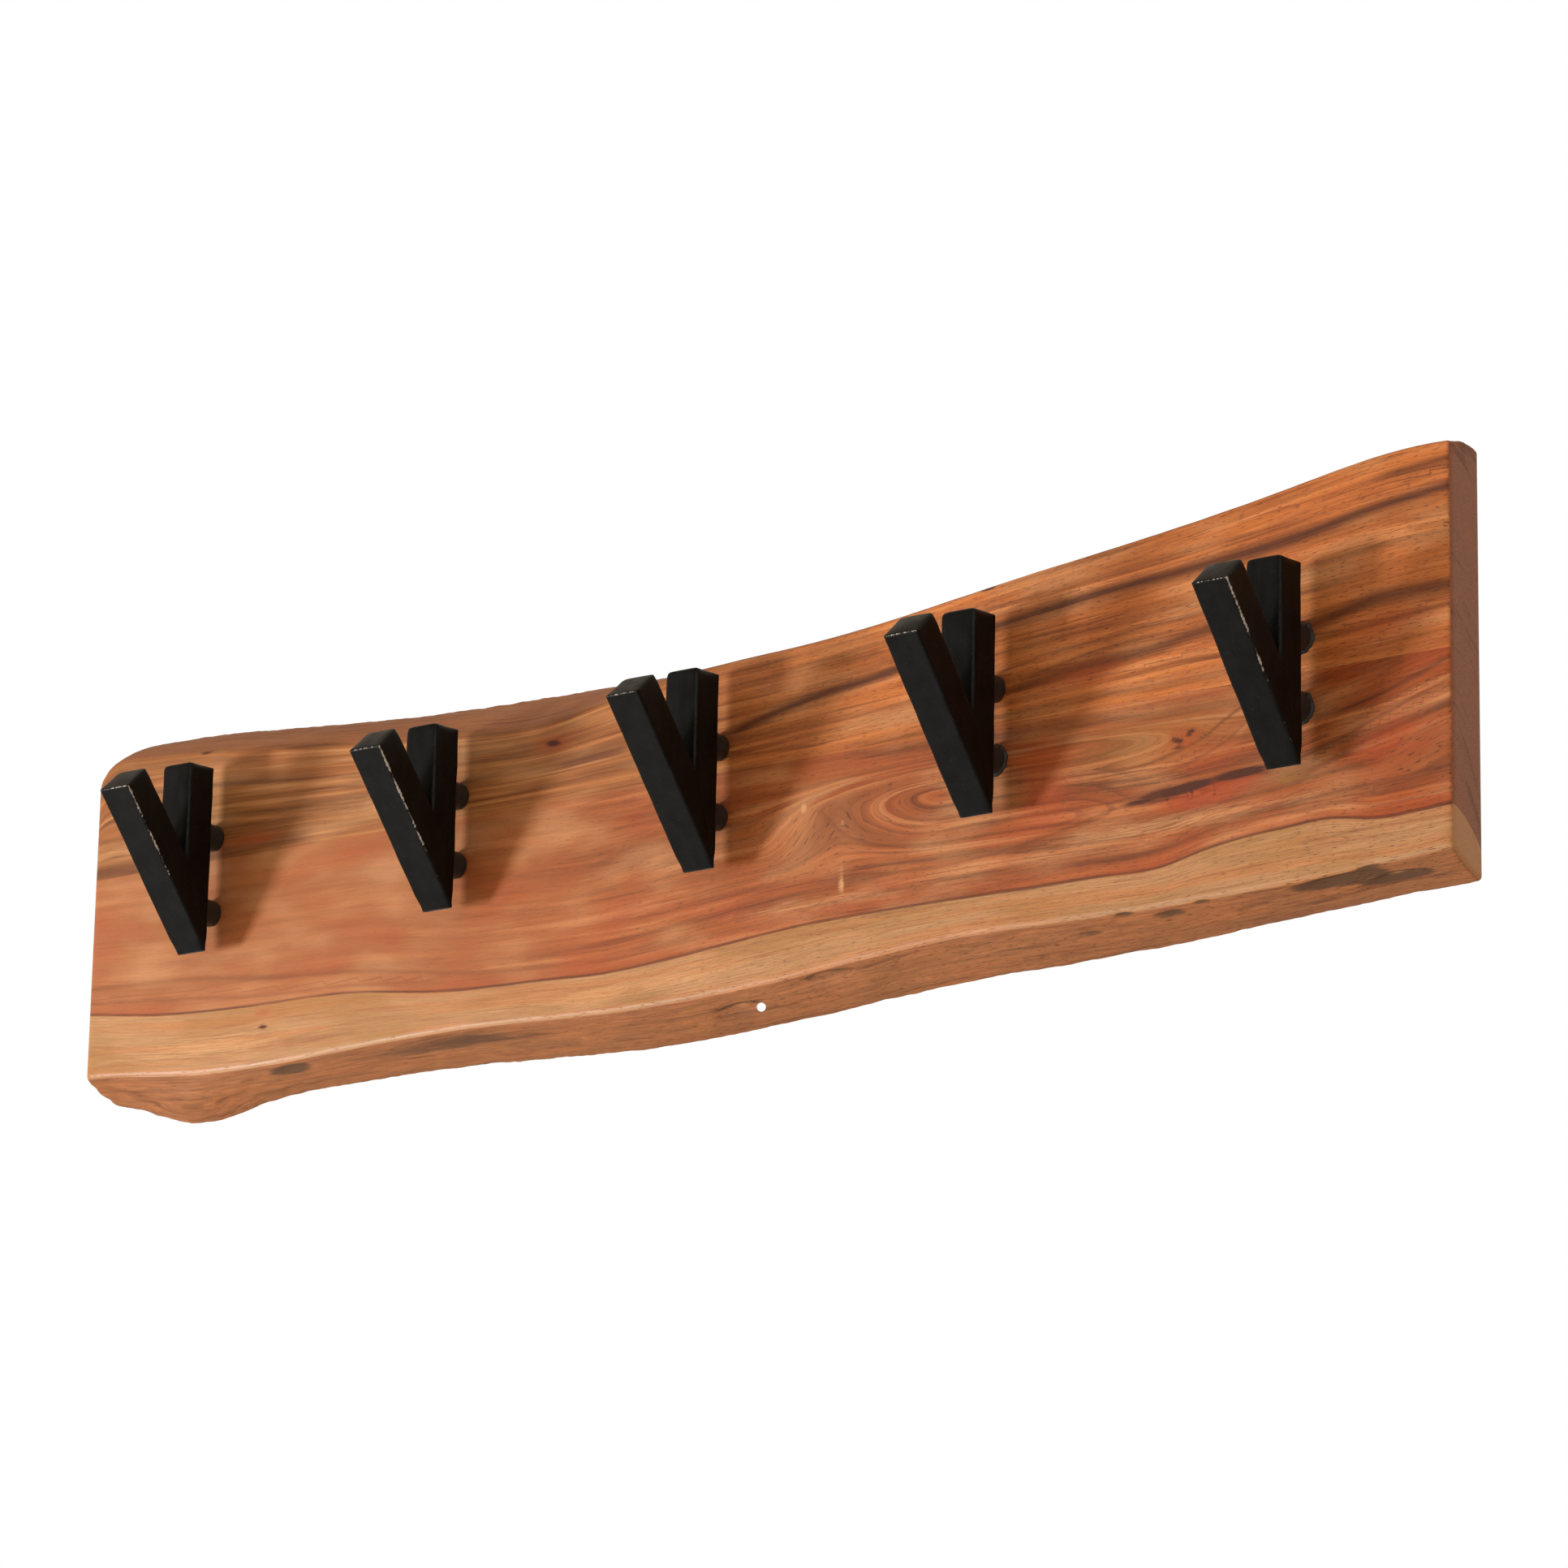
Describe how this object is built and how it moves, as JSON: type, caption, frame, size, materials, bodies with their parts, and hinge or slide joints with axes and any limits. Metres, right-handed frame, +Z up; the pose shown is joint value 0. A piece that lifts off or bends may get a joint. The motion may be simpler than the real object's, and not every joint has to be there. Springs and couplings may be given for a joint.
{
  "type": "wall hook rack",
  "caption": "Live-edge wooden plank with a row of upright black steel V hooks on short standoffs, hung on a wall by keyhole hangers let into its back.",
  "frame": {"origin": "middle of the plank's back face, where it lies on the wall: halfway between its two sawn ends, 107 mm above its lowest point", "axes": "+X along the plank to the right as seen from the room, +Y into the wall, +Z up"},
  "size_m": [0.75, 0.0987, 0.2169],
  "materials": {
    "wood": "oiled reddish-brown hardwood with pale sapwood along the lower edge, satin",
    "black_paint": "satin black paint on steel bar, worn to grey metal on the edges",
    "screw_steel": "zinc-plated steel",
    "hanger_steel": "zinc-plated sheet steel"
  },
  "bodies": {
    "root": {"upper_board": "wood", "lower_board": "wood", "hook_1_back_bar": "black_paint", "hook_1_front_bar": "black_paint", "hook_1_upper_standoff": "black_paint", "hook_1_lower_standoff": "black_paint", "hook_1_screws": "screw_steel", "hook_1_washers": "screw_steel", "hook_2_back_bar": "black_paint", "hook_2_front_bar": "black_paint", "hook_2_upper_standoff": "black_paint", "hook_2_lower_standoff": "black_paint", "hook_2_screws": "screw_steel", "hook_2_washers": "screw_steel", "hook_3_back_bar": "black_paint", "hook_3_front_bar": "black_paint", "hook_3_upper_standoff": "black_paint", "hook_3_lower_standoff": "black_paint", "hook_3_screws": "screw_steel", "hook_3_washers": "screw_steel", "hook_4_back_bar": "black_paint", "hook_4_front_bar": "black_paint", "hook_4_upper_standoff": "black_paint", "hook_4_lower_standoff": "black_paint", "hook_4_screws": "screw_steel", "hook_4_washers": "screw_steel", "hook_5_back_bar": "black_paint", "hook_5_front_bar": "black_paint", "hook_5_upper_standoff": "black_paint", "hook_5_lower_standoff": "black_paint", "hook_5_screws": "screw_steel", "hook_5_washers": "screw_steel", "left_hanger_plate": "hanger_steel", "left_hanger_screws": "hanger_steel", "right_hanger_plate": "hanger_steel", "right_hanger_screws": "hanger_steel"}
  },
  "joints": []
}
